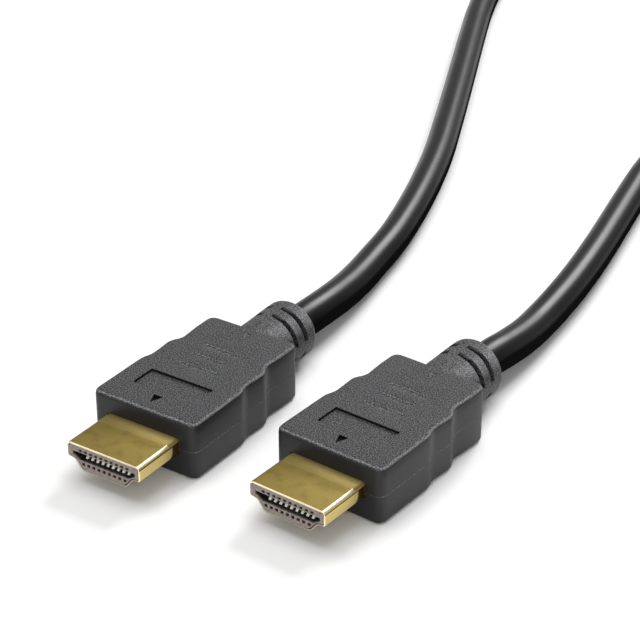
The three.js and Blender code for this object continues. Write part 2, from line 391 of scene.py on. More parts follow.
def where(tree: bpy.types.NodeTree, *fades: Fade, strength: float = 1.0) -> bpy.types.NodeSocket:
    """Say how strongly something shows, by the product of one or more smooth fades.

    Args:
        tree: The material's node tree.
        fades: For each, the socket that it follows, and the values where it starts and where it is full.
        strength: The result where every fade is full.

    Returns:
        The socket with the result, from 0 to the strength.
    """
    shown: Any = strength
    for followed, start, full in fades:
        reach = {"Value": followed, "From Min": start, "From Max": full, "To Max": shown}
        shown = add_node(tree, "MapRange", reach, interpolation_type="SMOOTHSTEP")[0]
    return shown


def layer(
    tree: bpy.types.NodeTree, ground: Any, *coats: Tuple[bpy.types.NodeSocket, Any]
) -> bpy.types.NodeSocket:
    """Lay colours over a ground, one after the other.

    Args:
        tree: The material's node tree.
        ground: The hex colour or the socket below them all.
        coats: For each, the socket with its share, and its hex colour or socket.

    Returns:
        The socket with the resulting colour.
    """
    colour = ground
    for share, coat in coats:
        colour = add_node(tree, "Mix", {0: share, 6: colour, 7: coat}, data_type="RGBA")[2]
    return colour


@dataclass(frozen=True)
class MouldedPvc:
    """Black soft PVC, injection moulded in a tool whose upper face and boss are spark eroded.

    The eroded tool leaves a fine matt grain that scatters light and looks grey, and the polished sides
    stay darker and smoother. The real grain is about 0.1 mm, and is drawn at 0.2 mm so that it shows.
    The right upper edges and the finger grooves' rear walls carry a painted highlight, and the front
    face and a band under the upper face carry painted shade.

    Attributes:
        grain: Size of a grain, in millimetres.
        grain_relief: How high the grain is drawn in the light, in millimetres.
        clouds: How many soft changes of gloss there are to a millimetre.
        dark_grain: Colour between the grains.
        light_grain: Colour of the grains.
        painted_light: Colour of the painted highlight on the right upper edges and the finger grooves' rear
            walls.
        side: Colour of the polished sides.
        rim: Colour of the sides just under the upper face, a painted dark reflection.
        front: Colour of the face that the shell comes out of, darkened as painted shade.
        recess_shade: The two colours of the painted shade on the sunk marks' walls and in the arrow.
        at_boss: Where the boss starts and is full, along the plug.
        at_front: Where the front's painted shade starts and is full, along the plug.
        at_rim: Heights where the painted dark reflection under the upper face starts and is full.
        at_grooves: Heights where the painted highlight on the finger grooves starts and is full.
    """

    grain: float = 0.2
    grain_relief: float = 0.15
    clouds: float = 0.35
    dark_grain: str = "#09090B"
    light_grain: str = "#68686A"
    painted_light: str = "#A0A0A2"
    side: str = "#262628"
    rim: str = "#141416"
    front: str = "#1B1B1D"
    recess_shade: Tuple[str, str] = ("#050506", "#0C0C0E")
    at_boss: Tuple[float, float] = (38.2, 39.6)
    at_front: Tuple[float, float] = (10.6, 10.0)
    at_rim: Tuple[float, float] = (7.9, 8.9)
    at_grooves: Tuple[float, float] = (9.7, 9.8)

    def make_shaded(self) -> bpy.types.Material:
        """Make the smooth, nearly black painted shade of the sunk marks' walls and of the arrow.

        Returns:
            The material, which both plugs share.
        """
        material, tree = start_material("painted_shade_pvc_recess")
        place = add_node(tree, "TexCoord", {})["Object"]
        mottle = add_node(tree, "TexNoise", {"Vector": place, "Scale": 1 / (0.4 * MM), "Detail": 2.0})[0]
        colour = layer(tree, self.recess_shade[0], (mottle, self.recess_shade[1]))
        finish = {"Base Color": colour, "Roughness": 0.7, "IOR": 1.53, "Specular IOR Level": 0.2}
        add_node(tree, "OutputMaterial", {"Surface": add_node(tree, "BsdfPrincipled", finish)[0]})
        return material

    def make(self, end: End, placement: Placement) -> bpy.types.Material:
        """Make the grained finish of one plug's moulding.

        Args:
            end: The end of the cable that the plug is on.
            placement: Where the plug lies.

        Returns:
            The material.
        """
        material, tree = start_material(f"moulded_pvc_{end.value}")
        place = plug_millimetres(tree, placement)
        at = add_node(tree, "SeparateXYZ", {0: place})
        facing = add_node(tree, "SeparateXYZ", {0: add_node(tree, "NewGeometry", {})["Normal"]})
        grains = {"Vector": place, "Scale": 1 / self.grain, "Detail": 2.0, "Roughness": 0.6}
        speckle = add_node(tree, "TexNoise", grains)[0]
        cloud = add_node(tree, "TexNoise", {"Vector": place, "Scale": self.clouds, "Detail": 1.0})[0]

        # The grain covers what faces upwards, and the round boss a little less.
        upper = where(tree, (facing["Z"], 0.3, 0.75))
        boss = where(tree, (at["Y"], *self.at_boss), strength=0.8)
        grained = add_node(tree, "Math", {0: upper, 1: boss}, operation="MAXIMUM")[0]
        light = where(tree, (speckle, 0.45, 0.62))

        # A painted highlight lies on the upper edges on the right and on the rear walls of the finger
        # grooves, flecked by the grain.
        edges = where(
            tree, (facing["Z"], 0.3, 0.6), (facing["Z"], 0.97, 0.8), (facing["X"], 0.1, 0.4), strength=0.75
        )
        grooves = where(tree, (facing["Y"], -0.28, -0.5), (at["Z"], *self.at_grooves), strength=0.8)
        painted_highlight = add_node(tree, "Math", {0: edges, 1: grooves}, operation="MAXIMUM")[0]
        flecks = add_node(tree, "Math", {0: light, 1: 0.6, 2: 0.3}, operation="MULTIPLY_ADD")[0]
        painted_highlight = add_node(tree, "Math", {0: painted_highlight, 1: flecks}, operation="MULTIPLY")[0]

        # A darker band on the sides just under the upper face is a painted reflection of the dark
        # surroundings.
        rim = where(tree, (at["Z"], *self.at_rim))
        # The front face is painted darker: painted shade.
        front = where(tree, (at["Y"], *self.at_front))
        polished = layer(tree, self.side, (rim, self.rim), (front, self.front))
        # The grained colour carries the painted highlight of the edges and the grooves.
        eroded = layer(tree, self.dark_grain, (light, self.light_grain), (painted_highlight, self.painted_light))
        colour = layer(tree, polished, (grained, eroded))

        matt = add_node(tree, "MapRange", {"Value": grained, "To Min": 0.42, "To Max": 0.62})[0]
        matt = add_node(tree, "Math", {0: cloud, 1: 0.08, 2: matt}, operation="MULTIPLY_ADD")[0]
        glossier_boss = where(tree, (at["Y"], *self.at_boss), strength=0.1)
        roughness = add_node(tree, "Math", {0: matt, 1: glossier_boss}, operation="SUBTRACT")[0]
        rise = add_node(tree, "Math", {0: grained, 1: 0.06}, operation="ADD")[0]
        height = add_node(tree, "Math", {0: speckle, 1: rise}, operation="MULTIPLY")[0]
        relief = {"Height": height, "Strength": 1.0, "Distance": self.grain_relief * MM}
        finish = {
            "Base Color": colour,
            "Roughness": roughness,
            "Normal": add_node(tree, "Bump", relief)[0],
            "IOR": 1.53,
            "Specular IOR Level": 0.3,
        }
        add_node(tree, "OutputMaterial", {"Surface": add_node(tree, "BsdfPrincipled", finish)[0]})
        return material


@dataclass(frozen=True)
class ExtrudedJacket:
    """Black PVC cable jacket, extruded: smooth, with the faint waviness of the strands inside.

    Its crown is glossy. The shine fades on the sides, where it would mirror the pale surface below.

    Attributes:
        colour: The jacket's colour.
        wave: Length of a wave, in millimetres.
        fine: Size of the finer unevenness, in millimetres.
        shine: Specular level of the crown.
    """

    colour: str = "#111112"
    wave: float = 9.0
    fine: float = 0.5
    shine: float = 0.19

    def make(self) -> bpy.types.Material:
        """Make the jacket's finish.

        Returns:
            The material.
        """
        material, tree = start_material("extruded_pvc_jacket")
        place = add_node(tree, "TexCoord", {})["Object"]
        waves = add_node(tree, "TexNoise", {"Vector": place, "Scale": 1 / (self.wave * MM), "Detail": 1.5})[0]
        fine = add_node(tree, "TexNoise", {"Vector": place, "Scale": 1 / (self.fine * MM), "Detail": 2.0})[0]
        upward = add_node(tree, "SeparateXYZ", {0: add_node(tree, "NewGeometry", {})["Normal"]})["Z"]
        height = add_node(tree, "Math", {0: fine, 1: 0.05, 2: waves}, operation="MULTIPLY_ADD")[0]
        relief = {"Height": height, "Strength": 0.4, "Distance": 0.12 * MM}
        finish = {
            "Base Color": self.colour,
            "Roughness": add_node(tree, "MapRange", {"Value": waves, "To Min": 0.3, "To Max": 0.38})[0],
            "Normal": add_node(tree, "Bump", relief)[0],
            "IOR": 1.53,
            "Specular IOR Level": where(tree, (upward, 0.25, 0.85), strength=self.shine),
        }
        add_node(tree, "OutputMaterial", {"Surface": add_node(tree, "BsdfPrincipled", finish)[0]})
        return material


@dataclass(frozen=True)
class GoldFlash:
    """Thin gold flash over nickel on stamped steel: a satin olive gold with faint stamping streaks.

    Attributes:
        name: What the finish is called.
        colour: The metal's colour.
        stain: The browner colour that it goes to in patches.
        roughness: Its mean roughness.
        painted_light: The paler colour of painted light on its sides, on the crease across it and on the end
            towards its root.
        crease: Where the painted highlight along the step across the top starts and ends, along the plug.
        crease_fade: How far in from each of these the crease is full.
        at_root: Where the painted light towards the root starts and is full, along the plug.
        seam: Heights between which the seam of the folded sheet runs.
        seam_fade: How far in from each of these the seam is full.
        seam_colour: Its colour.
    """

    name: str
    colour: str
    stain: str
    roughness: float
    painted_light: str = "#E9DDB0"
    crease: Tuple[float, float] = (7.1, 7.5)
    crease_fade: float = 0.15
    at_root: Tuple[float, float] = (6.0, 9.7)
    seam: Tuple[float, float] = (6.1, 6.34)
    seam_fade: float = 0.06
    seam_colour: str = "#2C2210"

    def make(self, end: End, placement: Placement) -> bpy.types.Material:
        """Make the finish of one plug's shell.

        Args:
            end: The end of the cable that the plug is on.
            placement: Where the plug lies.

        Returns:
            The material.
        """
        material, tree = start_material(f"{self.name}_{end.value}")
        place = plug_millimetres(tree, placement)
        at = add_node(tree, "SeparateXYZ", {0: place})
        facing = add_node(tree, "SeparateXYZ", {0: add_node(tree, "NewGeometry", {})["Normal"]})
        sideways = add_node(tree, "Math", {0: facing["X"]}, operation="ABSOLUTE")[0]
        patches = add_node(tree, "TexNoise", {"Vector": place, "Scale": 0.45, "Detail": 3.0})[0]
        stamped = add_node(tree, "Mapping", {"Vector": place, "Scale": (1.0, 9.0, 1.0)})[0]
        streaks = add_node(tree, "TexNoise", {"Vector": stamped, "Scale": 1.2, "Detail": 3.0})[0]

        # The side walls are painted paler: painted light for the light that falls on them.
        pale = where(tree, (sideways, 0.6, 0.95), strength=0.7)
        # The step across the top gets a thin painted highlight.
        start, end_of_crease = self.crease
        crease = where(
            tree,
            (at["Y"], start, start + self.crease_fade),
            (at["Y"], end_of_crease, end_of_crease - self.crease_fade),
            strength=0.2,
        )
        # The end towards the root is painted paler as well: painted light that offsets the dark reflection of
        # the moulding.
        for paler in (crease, where(tree, (at["Y"], *self.at_root), strength=0.55)):
            pale = add_node(tree, "Math", {0: pale, 1: paler}, operation="MAXIMUM")[0]
        low, high = self.seam
        seam = where(
            tree,
            (at["Z"], low, low + self.seam_fade),
            (at["Z"], high, high - self.seam_fade),
            (sideways, 0.4, 0.7),
        )
        stained = where(tree, (patches, 0.42, 0.8))
        roughness = {"Value": streaks, "To Min": self.roughness - 0.06, "To Max": self.roughness + 0.08}
        relief = {"Height": streaks, "Strength": 0.25, "Distance": 0.02 * MM}
        finish = {
            "Base Color": layer(
                tree, self.colour, (stained, self.stain), (pale, self.painted_light), (seam, self.seam_colour)
            ),
            "Roughness": add_node(tree, "MapRange", roughness)[0],
            "Normal": add_node(tree, "Bump", relief)[0],
            "Metallic": 0.9,
        }
        add_node(tree, "OutputMaterial", {"Surface": add_node(tree, "BsdfPrincipled", finish)[0]})
        return material


@dataclass(frozen=True)
class MouldedInsulator:
    """Glass-filled thermoplastic, moulded: a matt warm grey with a faint mottle of the fibres.

    Attributes:
        colour: The plastic's colour.
        dark: The darker colour of the mottle.
        depth: The colour that the openings go to where no light reaches them.
        in_depth: Where that starts and is full, along the plug.
    """

    colour: str = "#8A7E78"
    dark: str = "#6C615B"
    depth: str = "#120C09"
    in_depth: Tuple[float, float] = (0.17, 0.45)

    def make(self, end: End, placement: Placement) -> bpy.types.Material:
        """Make the finish of one plug's insulator.

        Args:
            end: The end of the cable that the plug is on.
            placement: Where the plug lies.

        Returns:
            The material.
        """
        material, tree = start_material(f"moulded_insulator_{end.value}")
        place = plug_millimetres(tree, placement)
        along = add_node(tree, "SeparateXYZ", {0: place})["Y"]
        mottle = add_node(tree, "TexNoise", {"Vector": place, "Scale": 2.2, "Detail": 3.0})[0]
        dark = where(tree, (mottle, 0.35, 0.75))
        deep = where(tree, (along, *self.in_depth))
        relief = {"Height": mottle, "Strength": 0.3, "Distance": 0.03 * MM}
        finish = {
            "Base Color": layer(tree, self.colour, (dark, self.dark), (deep, self.depth)),
            "Roughness": add_node(tree, "MapRange", {"Value": mottle, "To Min": 0.5, "To Max": 0.62})[0],
            "Normal": add_node(tree, "Bump", relief)[0],
            "IOR": 1.55,
        }
        add_node(tree, "OutputMaterial", {"Surface": add_node(tree, "BsdfPrincipled", finish)[0]})
        return material


@dataclass(frozen=True)
class PlatedContact:
    """Phosphor bronze leaf with a pale gold plating, and a near-white painted highlight at its tip.

    Attributes:
        tip_highlight: Near-white colour of the painted highlight at the tip.
        leaf: Colour of the plating behind it.
        behind_tip: Where that starts and is full, along the plug.
    """

    tip_highlight: str = "#FFFDF2"
    leaf: str = "#C9A24C"
    behind_tip: Tuple[float, float] = (2.0, 2.9)

    def make(self, end: End, placement: Placement) -> bpy.types.Material:
        """Make the finish of one plug's contacts.

        Args:
            end: The end of the cable that the plug is on.
            placement: Where the plug lies.

        Returns:
            The material.
        """
        material, tree = start_material(f"plated_contact_{end.value}")
        place = plug_millimetres(tree, placement)
        along = add_node(tree, "SeparateXYZ", {0: place})["Y"]
        tip_noise = add_node(tree, "TexNoise", {"Vector": place, "Scale": 3.0, "Detail": 2.0})[0]
        uneven = add_node(tree, "Math", {0: tip_noise, 1: 0.3, 2: along}, operation="MULTIPLY_ADD")[0]
        # The tip is painted near white as a painted highlight, with a ragged edge towards the plating.
        plated = where(tree, (uneven, *self.behind_tip))
        finish = {
            "Base Color": layer(tree, self.tip_highlight, (plated, self.leaf)),
            "Roughness": add_node(tree, "MapRange", {"Value": tip_noise, "To Min": 0.3, "To Max": 0.45})[0],
            "Metallic": 0.05,
        }
        add_node(tree, "OutputMaterial", {"Surface": add_node(tree, "BsdfPrincipled", finish)[0]})
        return material


@dataclass
class Overmould:
    """The moulded body with its strain relief, which are one moulding."""

    front: float = 9.7
    end: float = 39.4
    width: float = 19.9
    thickness: float = 10.0
    rim: float = 0.8
    corner: float = 1.5
    # Half plan behind the front face: place along the plug, width there, and the rounding of that corner.
    plan: Tuple[Point, ...] = (
        (22.2, 19.9, 0.7),
        (23.9, 18.6, 0.7),
        (29.0, 19.2, 0.9),
        (30.7, 16.8, 0.9),
        (34.5, 17.5, 1.5),
    )
    rear_width: float = 17.5
    rear_corner: float = 1.5
    parting_width: float = 0.16
    parting_depth: float = 0.07
    pocket_end: float = 11.2
    pocket_slack: float = 0.12
    panel_width: float = 12.0
    panel_length: float = 4.8
    panel_start: float = 15.1
    panel_depth: float = 0.42
    arrow_tip: float = 11.7
    arrow_length: float = 2.2
    arrow_width: float = 1.7
    arrow_depth: float = 0.5
    grip_first: float = 24.0
    grip_pitch: float = 3.25
    grip_count: int = 3
    grip_length: float = 8.2
    grip_radius: float = 1.1
    grip_depth: float = 0.17
    relief_centre: float = 5.25
    relief_start: float = 34.0
    relief_end: float = 50.2
    relief_rim: float = 1.1
    # Radius of the strain relief along the plug: it rises out of the body and swells towards its slots.
    relief_rings: Tuple[Tuple[float, float], ...] = (
        (36.0, 4.82),
        (38.0, 4.95),
        (40.5, 5.04),
        (43.0, 5.08),
        (45.5, 5.14),
        (47.6, 5.19),
    )
    relief_root_radius: float = 4.7
    relief_radius: float = 5.2
    slot_first: float = 44.2
    slot_pitch: float = 2.7
    slot_rows: int = 2
    slot_width: float = 1.0
    slot_depth: float = 1.25
    # Slots around the relief: the middle and the span of each, in degrees from +X towards the crown.
    slots: Tuple[Tuple[float, float], ...] = ((46, 84), (134, 50), (226, 84), (314, 50))
    mouth_radius: float = 3.35
    mouth_depth: float = 0.8

    def _body(self) -> bpy.types.Object:
        """Shape the body: a stepped block with rounded corners, rims and a parting line.

        Returns:
            The body.
        """
        half = self.width / 2
        body = add_block("overmould", (-half, self.front, 0), (half, self.end, self.thickness))
        middle = self.thickness / 2
        with Bench(body) as bench:
            for place, _, _ in self.plan:
                bench.split_at(1, place)
            for place, width, _ in (*self.plan, (self.end, self.rear_width, 0)):
                bench.pick_points(lambda p: near(p.y, place))
                bpy.ops.transform.resize(value=(width / self.width, 1, 1), center_override=(0, place, middle))
            first, last = self.front + MARGIN, self.end - MARGIN
            bench.pick_edges(lambda a, b: near(a.y, b.y) and a.x * b.x < 0 and first < a.y < last)
            bpy.ops.mesh.dissolve_edges(use_verts=False)
            front = (self.front, self.width, self.corner)
            rear = (self.end, self.rear_width, self.rear_corner)
            for place, width, reach in (front, *self.plan, rear):
                bench.pick_edges(
                    lambda a, b: near(a.y, place) and near(b.y, place) and near(abs(a.x), width / 2)
                    and near(a.x, b.x) and not near(a.z, b.z)
                )
                bench.bevel(reach, segments=4)
            for level in (0.0, self.thickness):
                bench.pick_edges(lambda a, b: near(a.z, level) and near(b.z, level))
                bench.bevel(self.rim, segments=4)
            for step in (-0.5, 0.0, 0.5):
                bench.split_at(2, middle + step * self.parting_width)
            bench.pick_points(lambda p: near(p.z, middle))
            bpy.ops.transform.shrink_fatten(value=-self.parting_depth)
            bpy.ops.mesh.select_all(action="SELECT")
            bpy.ops.mesh.normals_make_consistent(inside=False)
        return body

    def _relief(self) -> bpy.types.Object:
        """Shape the round strain relief, which swells a little towards its rounded end.

        Returns:
            The relief.
        """
        middle = self.relief_centre
        root = (0, self.relief_start, middle)
        relief = add_rod("relief", self.relief_radius, root, (0, self.relief_end, middle), sides=96)
        with Bench(relief) as bench:
            for place, _ in self.relief_rings:
                bench.split_at(1, place)
            for place, radius in ((self.relief_start, self.relief_root_radius), *self.relief_rings):
                bench.pick_points(lambda p: near(p.y, place))
                share = radius / self.relief_radius
                bpy.ops.transform.resize(value=(share, 1, share), center_override=(0, place, middle))
            bench.pick_edges(lambda a, b: near(a.y, self.relief_end) and near(b.y, self.relief_end))
            bench.bevel(self.relief_rim, segments=5)
        return relief

    def _slot(self, place: float, centre: float, span: float) -> bpy.types.Object:
        """Return the cutter of one slot in the relief: an arc of a flat ring.

        Args:
            place: Middle of the slot along the plug.
            centre: Angle of its middle, from +X towards the crown.
            span: Angle that it spans.

        Returns:
            The cutter.
        """
        start = math.radians(centre - span / 2)
        inner = self.relief_radius - self.slot_depth
        outer = self.relief_radius + PAST
        reach = (inner + outer) / 2
        axis_height = self.relief_centre
        deselect_all()
        bpy.ops.mesh.primitive_plane_add(
            size=1,
            location=(reach * math.cos(start), place, axis_height + reach * math.sin(start)),
            rotation=(0, -start, 0),
        )
        cutter = bpy.context.object
        cutter.scale = (outer - inner, self.slot_width, 1)
        settle(cutter)
        with Bench(cutter):
            bpy.ops.mesh.select_all(action="SELECT")
            # A step for every four degrees, and at least eight.
            steps = max(8, round(span / 4))
            bpy.ops.mesh.spin(
                steps=steps, angle=math.radians(span), center=(0, 0, axis_height), axis=(0, 1, 0)
            )
            bpy.ops.mesh.select_all(action="SELECT")
            bpy.ops.mesh.remove_doubles(threshold=1e-4)
            bpy.ops.mesh.normals_make_consistent(inside=False)
        return cutter

    def _grip(self, place: float) -> bpy.types.Object:
        """Return the cutter of one finger groove: a lying rod with round ends.

        Args:
            place: Middle of the groove along the plug.

        Returns:
            The cutter.
        """
        height = self.thickness + self.grip_radius - self.grip_depth
        half = self.grip_length / 2
        cutter = add_rod("grip", self.grip_radius, (-half, place, height), (half, place, height), sides=40)
        with Bench(cutter) as bench:
            bench.pick_edges(lambda a, b: near(a.x, b.x))
            # A tenth of the radius stays flat, because a full rounding would close each end to a point.
            bench.bevel(self.grip_radius * 0.9, segments=6)
        return cutter

    def _arrow(self) -> bpy.types.Object:
        """Shape the cutter of the small arrow, which points to the shell.

        Returns:
            The cutter.
        """
        middle = self.arrow_tip + self.arrow_length * 2 / 3
        deselect_all()
        bpy.ops.mesh.primitive_cylinder_add(
            vertices=3,
            radius=1,
            depth=2 * PAST,
            location=(0, middle, self.thickness + PAST - self.arrow_depth),
            rotation=(0, 0, math.pi),
        )
        cutter = bpy.context.object
        cutter.scale = (self.arrow_width / math.sqrt(3), self.arrow_length / 1.5, 1)
        return settle(cutter)

    def model(self, shell: "Shell") -> bpy.types.Object:
        """Model the moulding in the plug's millimetres.

        Args:
            shell: The shell that its pocket is cut for.

        Returns:
            The finished mesh object.
        """
        top = self.thickness
        half = self.panel_width / 2
        body = self._body()
        # The first slot is for the moulding's finish and the second for the painted shade of the sunk marks.
        for _ in range(2):
            body.data.materials.append(None)
        combine(body, self._relief(), "UNION")
        combine(body, shell.solid(-self.pocket_slack, -PAST, self.pocket_end), "DIFFERENCE")
        panel = add_block(
            "panel",
            (-half, self.panel_start, top - self.panel_depth),
            (half, self.panel_start + self.panel_length, top + PAST),
        )
        combine(body, panel, "DIFFERENCE")
        combine(body, self._arrow(), "DIFFERENCE")
        for i in range(self.grip_count):
            combine(body, self._grip(self.grip_first + i * self.grip_pitch), "DIFFERENCE")
        for row in range(self.slot_rows):
            for centre, span in self.slots:
                combine(body, self._slot(self.slot_first + row * self.slot_pitch, centre, span), "DIFFERENCE")
        middle = self.relief_centre
        mouth = add_rod(
            "mouth",
            self.mouth_radius,
            (0, self.relief_end - self.mouth_depth, middle),
            (0, self.relief_end + PAST, middle),
        )
        combine(body, mouth, "DIFFERENCE")
        # The panel's walls and the arrow are given the painted shade.
        for face in body.data.polygons:
            if self._gets_painted_shade(face.center, face.normal):
                face.material_index = 1
        smooth(body, degrees=32)
        return body

    def _gets_painted_shade(self, centre: Vector, normal: Vector) -> bool:
        """Tell the walls of the panel and all the faces of the arrow, which get the painted shade, from the
        rest.

        Args:
            centre: Middle of the face.
            normal: Its normal.

        Returns:
            Whether the face is one of them.
        """
        upright = abs(normal.z) < 0.3
        marks = (
            (self.panel_start, self.panel_length, self.panel_width, upright),
            (self.arrow_tip, self.arrow_length, self.arrow_width, True),
        )
        if not self.thickness - self.arrow_depth - MARGIN < centre.z < self.thickness - MARGIN / 10:
            return False
        return any(
            counts
            and start - MARGIN < centre.y < start + length + MARGIN
            and abs(centre.x) < width / 2 + MARGIN
            for start, length, width, counts in marks
        )


@dataclass
class Shell:
    """The formed sheet-metal shell: flat on top, with upright walls, shoulders and a narrower floor."""

    width: float = 13.9
    height: float = 4.45
    length: float = 9.7
    root: float = 1.2
    sheet: float = 0.3
    wall: float = 2.55
    shoulder_width: float = 11.2
    shoulder_drop: float = 0.2
    floor_width: float = 8.6
    corner: float = 0.6
    centre_height: float = 4.5
    lip: float = 0.11
    step_at: float = 7.2
    step_run: float = 0.18
    step_rise: float = 0.06
    notch_start: float = 8.05
    notch_end: float = 9.75
    notch_depth: float = 0.22
    notch_drop: float = 0.5
    notch_round: float = 1.3
    notch_overlap: float = 0.3
    # How far in from the sheet's thickness the lip still gets the painted highlight: downwards, and from the
    # right wall.
    lit_depth: float = 0.15
    lit_width: float = 0.2

    def solid(self, inset: float, start: float, end: float) -> bpy.types.Object:
        """Model the shell's outline as a solid bar.

        Args:
            inset: How far the outline is drawn in, or out by a negative one.
            start: Where along the plug it starts.
            end: Where along the plug it ends.

        Returns:
            The bar.
        """
        half = self.width / 2 - inset
        top = self.centre_height + self.height / 2 - inset
        floor = self.centre_height - self.height / 2 + inset
        foot = self.centre_height + self.height / 2 - self.wall + inset
        shoulder = foot - self.shoulder_drop
        bar = add_block("bar", (-half, start, floor), (half, end, top))
        rows = (
            (floor, self.floor_width / 2 - inset, self.corner),
            (shoulder, self.shoulder_width / 2 - inset, self.corner / 2),
            (foot, half, self.corner / 2),
            (top, half, self.corner),
        )
        with Bench(bar) as bench:
            bench.split_at(2, foot)
            bench.split_at(2, shoulder)
            for level, reach, _ in rows[:2]:
                bench.pick_points(lambda p: near(p.z, level))
                bpy.ops.transform.resize(value=(reach / half, 1, 1), center_override=(0, 0, level))
            for level, reach, rounding in rows:
                bench.pick_edges(
                    lambda a, b: near(a.z, level) and near(b.z, level)
                    and near(abs(a.x), reach) and near(a.x, b.x)
                )
                bench.bevel(rounding, segments=5)
        return bar

    def _notch(self, side: int) -> bpy.types.Object:
        """Return the cutter that ends one side wall before the body, with a round lower corner.

        Args:
            side: 1 for the right wall, -1 for the left one.

        Returns:
            The cutter.
        """
        inner = self.width / 2 - self.notch_depth
        outer = self.width / 2 + PAST
        near_x, far_x = sorted((side * inner, side * outer))
        top = self.centre_height + self.height / 2 - self.notch_drop
        wall_foot = self.centre_height + self.height / 2 - self.wall
        low = wall_foot - MARGIN - self.notch_overlap
        cutter = add_block("notch", (near_x, self.notch_start, low), (far_x, self.notch_end, top))
        heel_start = self.notch_start - self.notch_round
        heel_end = self.notch_start + self.notch_overlap
        heel_top = wall_foot + self.notch_round
        heel = add_block("heel", (near_x, heel_start, low), (far_x, heel_end, heel_top))
        rounding = add_rod(
            "rounding",
            self.notch_round,
            (near_x - PAST, heel_start, heel_top),
            (far_x + PAST, heel_start, heel_top),
        )
        combine(heel, rounding, "DIFFERENCE")
        combine(cutter, heel, "UNION")
        return cutter

    def model(self, finishes: Sequence[bpy.types.Material]) -> bpy.types.Object:
        """Model the shell in the plug's millimetres.

        Args:
            finishes: The metal, its lip with a painted highlight, its root with painted shade and its lip
                with painted shade, in the order of the slots.

        Returns:
            The finished mesh object.
        """
        shell = self.solid(0, 0, self.length + self.root)
        shell.name = "shell"
        for finish in finishes:
            shell.data.materials.append(finish)
        top = self.centre_height + self.height / 2
        with Bench(shell) as bench:
            # Both ends of the bar are opened.
            bench.pick_faces(lambda c, n: abs(n.y) > 0.9)
            bpy.ops.mesh.delete(type="FACE")
            for place in (self.step_at, self.step_at + self.step_run):
                bench.split_at(1, place)
            bench.pick_points(lambda p: p.y > self.step_at + self.step_run / 2 and p.z > top - 0.01)
            bpy.ops.transform.translate(value=(0, 0, self.step_rise))
        take_up(shell)
        wall = shell.modifiers.new("sheet", "SOLIDIFY")
        wall.thickness = self.sheet
        wall.offset = -1
        wall.use_even_offset = True
        bpy.ops.object.modifier_apply(modifier=wall.name)
        with Bench(shell) as bench:
            bench.pick_edges(lambda a, b: near(a.y, 0) and near(b.y, 0) and not self._across(a, b))
            # The lip's rounding gets the painted highlight.
            bench.bevel(self.lip, segments=3, material=1)
        for side in (-1, 1):
            cutter = self._notch(side)
            for finish in finishes:
                cutter.data.materials.append(finish)
            # The notch's faces get the painted shade at the root.
            for face in cutter.data.polygons:
                face.material_index = 2
            combine(shell, cutter, "DIFFERENCE")
        for face in shell.data.polygons:
            self._choose_slot(face)
        smooth(shell, degrees=32)
        return shell

    def _choose_slot(self, face: bpy.types.MeshPolygon) -> None:
        """Give the upper edge on the right the slot of the painted highlight, and the lip that of the painted
        highlight or of the painted shade.

        Args:
            face: A face of the finished shell.
        """
        top = self.centre_height + self.height / 2
        centre, normal = face.center, face.normal
        # The rounded edge looks mostly upwards and a little to the right.
        on_edge = normal.x > 0.15 and normal.z > 0.55 and centre.z > top - self.corner
        # The right upper edge gets the painted highlight.
        if on_edge and centre.y < self.notch_start:
            face.material_index = 1
        if centre.y < self.lip * 1.2 and (face.material_index == 1 or normal.y < -0.5):
            above = centre.z > top - self.sheet - self.lit_depth
            beside = centre.x > self.width / 2 - self.sheet - self.lit_width
            # The lip on top and on the right keeps the painted highlight, and the rest of it gets painted
            # shade.
            face.material_index = 1 if above or beside else 3

    def _across(self, a: Vector, b: Vector) -> bool:
        """Return whether an edge of the lip joins the outer outline to the inner one."""
        return near((a - b).length, self.sheet, 0.12) and not near(a.x, b.x) and not near(a.z, b.z)


